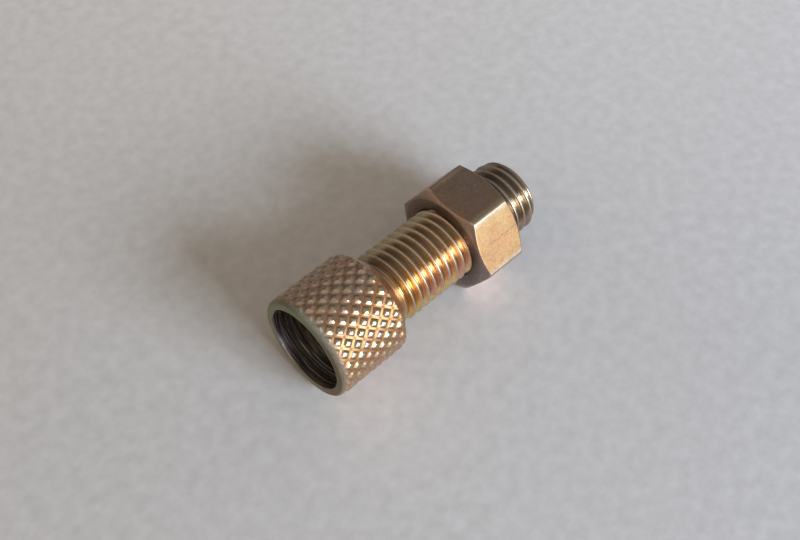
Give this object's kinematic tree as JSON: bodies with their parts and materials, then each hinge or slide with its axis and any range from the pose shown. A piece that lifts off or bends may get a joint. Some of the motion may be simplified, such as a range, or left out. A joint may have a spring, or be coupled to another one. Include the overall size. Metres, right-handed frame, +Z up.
{
  "type": "cable adjuster screw",
  "caption": "Threaded cable adjuster with a knurled socket head, a through hole for the inner cable and a hexagonal lock nut.",
  "frame": {"origin": "on the screw's axis, in the plane where the head ends and the shank starts", "axes": "+X along the screw from the head to the threaded end, +Z up as it lies, square to a flat of the nut"},
  "size_m": [0.029, 0.0128, 0.0114],
  "materials": {
    "screw_passivate": "yellow iridescent zinc passivate on turned and knurled steel",
    "nut_passivate": "duller yellow zinc passivate on a pressed steel nut"
  },
  "bodies": {
    "screw": {"adjuster_screw": "screw_passivate"},
    "nut": {"lock_nut": "nut_passivate"}
  },
  "joints": [
    {"name": "nut_travel", "type": "slide", "parent": "screw", "child": "nut", "axis": [1, 0, 0], "range_m": [-0.009, 0.004]}
  ]
}
